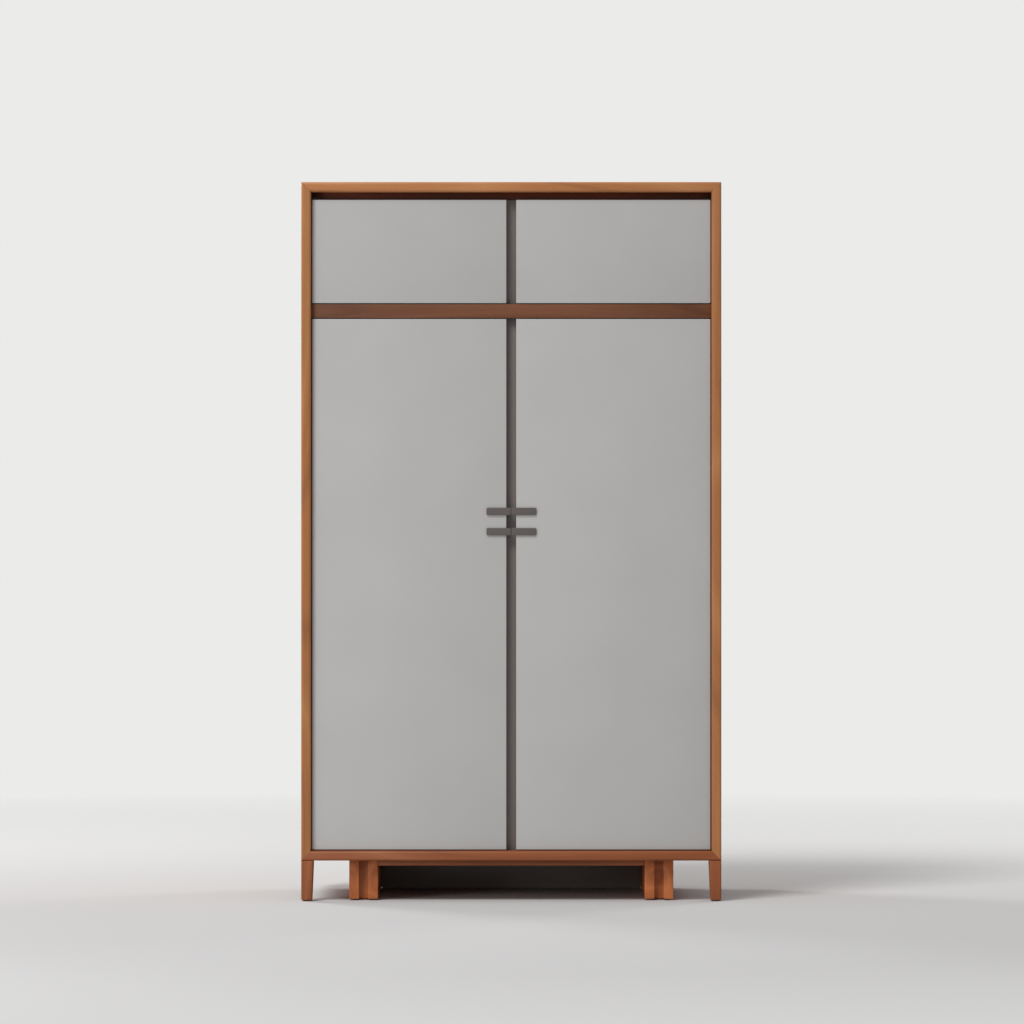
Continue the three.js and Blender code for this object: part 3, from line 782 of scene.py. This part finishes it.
class ARMOIRE_OT_hanging_rail(bpy.types.Operator):
    """Make the oval hanging rail and its two end sockets"""

    bl_idname = "armoire.hanging_rail"
    bl_label = "Hanging rail"

    def execute(self, context):
        self.rail()
        self.sockets()
        return {"FINISHED"}

    def rail(self):
        low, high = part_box("hanging_rail")
        centre = (low + high) / 2
        radius = (high.y - low.y) / 2
        piece = round_piece(
            "finished_hanging_rail", centre, "X", radius, high.x - low.x, caps="NOTHING"
        )
        self.stretch(piece, centre.z, (high.z - low.z) / 2 - radius)
        only(piece)
        bpy.ops.object.modifier_add(type="SOLIDIFY")
        piece.modifiers[-1].thickness = 1.2 * MM
        piece.modifiers[-1].offset = -1
        apply_last_modifier(piece)
        smooth(piece)
        hand_over(piece, "hanging_rail", "zinc_plated_steel")

    def stretch(self, piece, height, reach):
        """Moves the upper and lower halves of a round piece apart, which makes it oval."""
        with editing(piece):
            for way in (1, -1):
                pick("VERT", lambda vert: (vert.co.z - height) * way > 0.1 * MM)
                bpy.ops.transform.translate(value=(0, 0, way * reach))

    def sockets(self):
        """A flange on the wall, with a cup drawn out of it and hollowed for the rail."""
        node = "left_rail_socket"
        low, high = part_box(node)
        centre = (low + high) / 2
        radius = (high.y - low.y) / 2
        rim, wall, floor = 5.5 * MM, 2.6 * MM, 3.5 * MM
        place = Vector((low.x + SOCKET_FLANGE / 2, centre.y, centre.z))
        piece = round_piece(f"finished_{node}", place, "X", radius, SOCKET_FLANGE)
        self.stretch(piece, centre.z, (high.z - low.z) / 2 - radius)
        with editing(piece):
            pick("FACE", lambda face: face.normal.x > 0.9)
            bpy.ops.mesh.inset(thickness=rim)
            bpy.ops.transform.resize(value=(1, 1, 0.8), center_override=centre)
            self.extrude(high.x - low.x - SOCKET_FLANGE)
            bpy.ops.mesh.inset(thickness=wall)
            self.extrude(low.x - high.x + floor)
        ease(piece, 0.6 * MM, angle=50)
        place_copies(piece, [node], "zinc_plated_steel", ["right_rail_socket"])

    def extrude(self, distance):
        bpy.ops.mesh.extrude_region_move(TRANSFORM_OT_translate={"value": (distance, 0, 0)})


class ARMOIRE_OT_catches(bpy.types.Operator):
    """Make the push-in magnetic catches and the strikes on the doors"""

    bl_idname = "armoire.catches"
    bl_label = "Catches and strikes"

    def execute(self, context):
        doors = [f"{level}_{name}" for level in LEVELS for name in SIDES]
        self.make_catches([f"{door}_catch" for door in doors])
        self.make_strikes([f"{door}_strike" for door in doors])
        return {"FINISHED"}

    def make_catches(self, nodes):
        """A body with a wide head, whose magnet lies a little below the rim."""
        low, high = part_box(nodes[0])
        centre = (low + high) / 2
        head, body = (high.x - low.x) / 2, 6 * MM  # radii
        head_depth, rim, magnet_depth = 1.4 * MM, 2.2 * MM, 0.5 * MM
        piece = round_piece(f"finished_{nodes[0]}", centre, "Y", body, high.y - low.y)
        with editing(piece):
            pick("FACE", lambda face: face.normal.y < -0.9)
            bpy.ops.transform.translate(value=(0, head_depth, 0))
            bpy.ops.mesh.extrude_region_move()
            ratio = head / body
            bpy.ops.transform.resize(value=(ratio, 1, ratio), center_override=centre)
            self.extrude(-head_depth)
            bpy.ops.mesh.inset(thickness=rim)
            self.extrude(magnet_depth)
        ease(piece, 0.22 * MM, angle=50)
        place_copies(piece, nodes, "zinc_plated_steel")

    def make_strikes(self, nodes):
        """A disc that stands a hair proud of the back of the door."""
        low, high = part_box(nodes[0])
        proud = Vector((0, 0.3 * MM, 0))
        centre = (low + high + proud) / 2
        radius = (high.x - low.x) / 2
        piece = round_piece(f"finished_{nodes[0]}", centre, "Y", radius, high.y - low.y + proud.y)
        ease(piece, 0.25 * MM, angle=50)
        place_copies(piece, nodes, "zinc_plated_steel")

    def extrude(self, distance):
        bpy.ops.mesh.extrude_region_move(TRANSFORM_OT_translate={"value": (0, distance, 0)})


class ARMOIRE_OT_hinges(bpy.types.Operator):
    """Finish the hinge leaves and the top brackets, which keep the shape of the frame"""

    bl_idname = "armoire.hinges"
    bl_label = "Hinges"

    def execute(self, context):
        for node, shown in frame["nodes"].items():
            if "_leaf_" in node or "_bracket_" in node:
                shown.material_slots[0].material = material("blackened_steel")
        return {"FINISHED"}


def spread(first, last, count):
    """Evenly spaced values from the first to the last."""
    return [first + i * (last - first) / (count - 1) for i in range(count)]


class ARMOIRE_OT_screws(bpy.types.Operator):
    """Make the screws that show: behind the pulls, on the sockets, brackets and back panel"""

    bl_idname = "armoire.screws"
    bl_label = "Screws"

    def execute(self, context):
        self.pattern = self.pan_head(context.scene.armoire_shapes.screw_head)
        self.pull_screws()
        self.socket_screws()
        self.bracket_screws()
        self.back_screws()
        bpy.data.objects.remove(self.pattern)
        return {"FINISHED"}

    def pan_head(self, radius):
        """One screw head on the plane Z = 0, facing up, with a cross recess."""
        depth = radius * 0.5
        piece = round_piece("screw_pattern", (0, 0, depth / 2), "Z", radius, depth, sides=24)
        with editing(piece):
            pick("EDGE", lambda e: min(v.co.z for v in e.verts) > depth * 0.9)
            bpy.ops.mesh.bevel(offset=depth * 0.7, segments=4, profile=0.5, affect="EDGES")
        arm, slot = radius * 0.55, radius * 0.14
        for x, y in ((arm, slot), (slot, arm)):
            cut_box(piece, (-x, -y, depth * 0.35), (x, y, depth * 2))
        smooth(piece, 35)
        return piece

    def screws(self, name, body, slot, spots, turn, finish, scale=1.0):
        """Copies of the pattern at some spots, turned alike and joined into one object."""
        copies = []
        for spot in spots:
            only(self.pattern)
            bpy.ops.object.duplicate()
            copy = bpy.context.active_object
            copy.scale = (scale, scale, scale)
            copy.rotation_euler = turn
            copy.location = spot
            settle()
            copies.append(copy)
        only(copies[0])
        for copy in copies[1:]:
            copy.select_set(True)
        if len(copies) > 1:
            bpy.ops.object.join()
        copies[0].name = name
        attach(copies[0], body, finish)

    def pull_screws(self):
        """Two screws behind each pull, on the back of the door."""
        for name, side in SIDES.items():
            spots = []
            for place in LEVELS:
                low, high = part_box(f"{name}_{place}_pull")
                height = (low.z + high.z) / 2
                for from_middle in (45 * MM, 62 * MM):
                    spots.append(Vector((side * from_middle, DOOR_BACK, height)))
            turn = (-math.pi / 2, 0, 0)
            body = f"lower_{name}_door"
            self.screws(f"{name}_pull_screws", body, "steel", spots, turn, "zinc_plated_steel")

    def socket_screws(self):
        """Two screws in each flange, above and below the cup."""
        reach = 23 * MM
        for name, way in (("left", 1), ("right", -1)):
            low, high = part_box(f"{name}_rail_socket")
            wall = low.x if way > 0 else high.x
            centre = (low + high) / 2
            face = wall + way * SOCKET_FLANGE
            spots = [Vector((face, centre.y, centre.z + rise)) for rise in (reach, -reach)]
            turn = (0, way * math.pi / 2, 0)
            screws = f"{name}_socket_screws"
            self.screws(screws, "carcass", "steel", spots, turn, "zinc_plated_steel", 0.8)

    def bracket_screws(self):
        """A screw in the upright arm of each top bracket."""
        level_arm, drop = 20 * MM, 6 * MM
        for name, side in SIDES.items():
            low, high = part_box(f"upper_{name}_frame_bracket_top")
            face = side * (min(abs(low.x), abs(high.x)) + level_arm)
            spots = [Vector((face, (low.y + high.y) / 2, high.z - drop))]
            turn = (0, -side * math.pi / 2, 0)
            screw = f"{name}_bracket_screw"
            self.screws(screw, "carcass", "pull_metal", spots, turn, "blackened_steel", 0.8)

    def back_screws(self):
        """Screws all round the back panel, close to its edges."""
        low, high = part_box("back_panel")
        inset, face = 5.5 * MM, high.y - BACK_SINK
        upright_margin, level_margin = 60 * MM, 100 * MM  # from the corners, on each kind of edge
        spots = []
        for z in spread(low.z + upright_margin, high.z - upright_margin, 8):
            spots += [Vector((x, face, z)) for x in (low.x + inset, high.x - inset)]
        for x in spread(low.x + level_margin, high.x - level_margin, 5):
            spots += [Vector((x, face, z)) for z in (low.z + inset, high.z - inset)]
        turn = (-math.pi / 2, 0, 0)
        self.screws("back_screws", "carcass", "steel", spots, turn, "zinc_plated_steel", 0.8)


# ------------------------------------------------------------------ studio


def aim(thing, target):
    direction = Vector(target) - thing.location
    thing.rotation_euler = direction.to_track_quat("-Z", "Y").to_euler()


class ARMOIRE_OT_stage(bpy.types.Operator):
    """Make the pale floor, the soft lights, the surroundings and the camera"""

    bl_idname = "armoire.stage"
    bl_label = "Studio"

    def execute(self, context):
        self.floor()
        self.surroundings(context.scene)
        self.light("key_light", (-15.0, -22.0, 32.0), size=16.0, power=9800)
        self.light("side_light", (-3.4, -3.6, 0.9), size=1.6, power=42)
        self.light("back_light", (-3.5, 3.0, 3.5), size=1.8, power=110)
        self.light("right_back_light", (3.5, 3.2, 3.0), size=1.8, power=55)
        self.camera(context.scene)
        context.scene.view_settings.view_transform = "Standard"
        return {"FINISHED"}

    def floor(self):
        """A disc of pale floor that fades out, so that no edge or horizon shows."""
        bpy.ops.object.select_all(action="DESELECT")
        bpy.ops.mesh.primitive_circle_add(vertices=96, radius=8, fill_type="NGON")
        disc = bpy.context.active_object
        disc.name = "studio_floor"
        floor = bpy.data.materials.new("pale_studio_floor")
        floor.use_nodes = True
        tree = floor.node_tree
        tree.nodes.clear()
        place = add_node(tree, "ShaderNodeTexCoord").outputs["Object"]
        # The fade is centred 0.8 m in front of the armoire: solid to 1.9 m, and gone at 6.5 m.
        settings = {"Location": (0, 0.8, 0)}
        centred = add_node(tree, "ShaderNodeMapping", settings, {"Vector": place})
        settings = {"operation": "LENGTH"}
        distance = add_node(tree, "ShaderNodeVectorMath", settings, {0: centred})
        settings = {"From Min": 1.9, "From Max": 6.5}
        links = {"Value": distance.outputs["Value"]}
        fade = add_node(tree, "ShaderNodeMapRange", settings, links)
        matt = add_node(tree, "ShaderNodeBsdfDiffuse", {"Color": linear("#cbcaca")})
        clear = add_node(tree, "ShaderNodeBsdfTransparent")
        mixed = add_node(tree, "ShaderNodeMixShader", None, {0: fade, 1: matt, 2: clear})
        add_node(tree, "ShaderNodeOutputMaterial", None, {"Surface": mixed})
        disc.data.materials.append(floor)

    def surroundings(self, scene):
        """Pale surroundings all round, which give less light than their look would suggest."""
        world = bpy.data.worlds.new("pale_surroundings")
        scene.world = world
        world.use_nodes = True
        tree = world.node_tree
        tree.nodes.clear()
        pale = linear("#ebebea")
        lighting = add_node(tree, "ShaderNodeBackground", {"Color": pale, "Strength": 0.46})
        shown = add_node(tree, "ShaderNodeBackground", {"Color": pale, "Strength": 1.0})
        # Direct sight of the surroundings keeps them pale, while they light the piece softly,
        # so that the lamps can shape it.
        seen = add_node(tree, "ShaderNodeLightPath").outputs["Is Camera Ray"]
        links = {0: seen, 1: lighting, 2: shown}
        mixed = add_node(tree, "ShaderNodeMixShader", None, links)
        add_node(tree, "ShaderNodeOutputWorld", None, {"Surface": mixed})

    def light(self, name, place, size, power):
        bpy.ops.object.light_add(type="AREA", location=place)
        lamp = bpy.context.active_object
        lamp.name = name
        lamp.data.shape = "DISK"
        lamp.data.size = size
        lamp.data.energy = power
        lamp.visible_camera = False
        aim(lamp, (0, 0, 1.0))

    def camera(self, scene):
        """A long lens far in front, level, so that uprights stay upright and parallel."""
        distance, height, aside = 15.43, 1.1117, 0.002
        location = (aside, CASE_LOW.y - distance, height)
        bpy.ops.object.camera_add(location=location, rotation=(math.pi / 2, 0, 0))
        camera = bpy.context.active_object
        camera.name = "front_camera"
        camera.data.lens = 190
        camera.data.sensor_width = 36
        camera.data.clip_end = 100
        scene.camera = camera


PIECES = (
    ARMOIRE_OT_case_boards,
    ARMOIRE_OT_face,
    ARMOIRE_OT_inside,
    ARMOIRE_OT_base,
    ARMOIRE_OT_doors,
    ARMOIRE_OT_pulls,
    ARMOIRE_OT_hanging_rail,
    ARMOIRE_OT_catches,
    ARMOIRE_OT_hinges,
    ARMOIRE_OT_screws,
    ARMOIRE_OT_stage,
)


class ARMOIRE_PT_panel(bpy.types.Panel):
    """Lists the steps that build the armoire"""

    bl_idname = "ARMOIRE_PT_panel"
    bl_label = "Armoire"
    bl_space_type = "VIEW_3D"
    bl_region_type = "UI"
    bl_category = "Armoire"

    def draw(self, context):
        for settings in (context.scene.armoire_shapes, context.scene.armoire_finish):
            box = self.layout.box()
            for name in settings.bl_rna.properties.keys():
                if name not in ("rna_type", "name"):
                    box.prop(settings, name)
        for operator in PIECES:
            self.layout.operator(operator.bl_idname)


CLASSES = (ArmoireShapes, ArmoireFinish, *PIECES, ARMOIRE_PT_panel)


def register():
    for made in CLASSES:
        bpy.utils.register_class(made)
    bpy.types.Scene.armoire_shapes = bpy.props.PointerProperty(type=ArmoireShapes)
    bpy.types.Scene.armoire_finish = bpy.props.PointerProperty(type=ArmoireFinish)


def unregister():
    del bpy.types.Scene.armoire_finish
    del bpy.types.Scene.armoire_shapes
    for made in reversed(CLASSES):
        bpy.utils.unregister_class(made)


def main():
    register()
    for piece in PIECES:
        group, name = piece.bl_idname.split(".")
        getattr(getattr(bpy.ops, group), name)()
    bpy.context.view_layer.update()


if __name__ == "__main__":
    main()
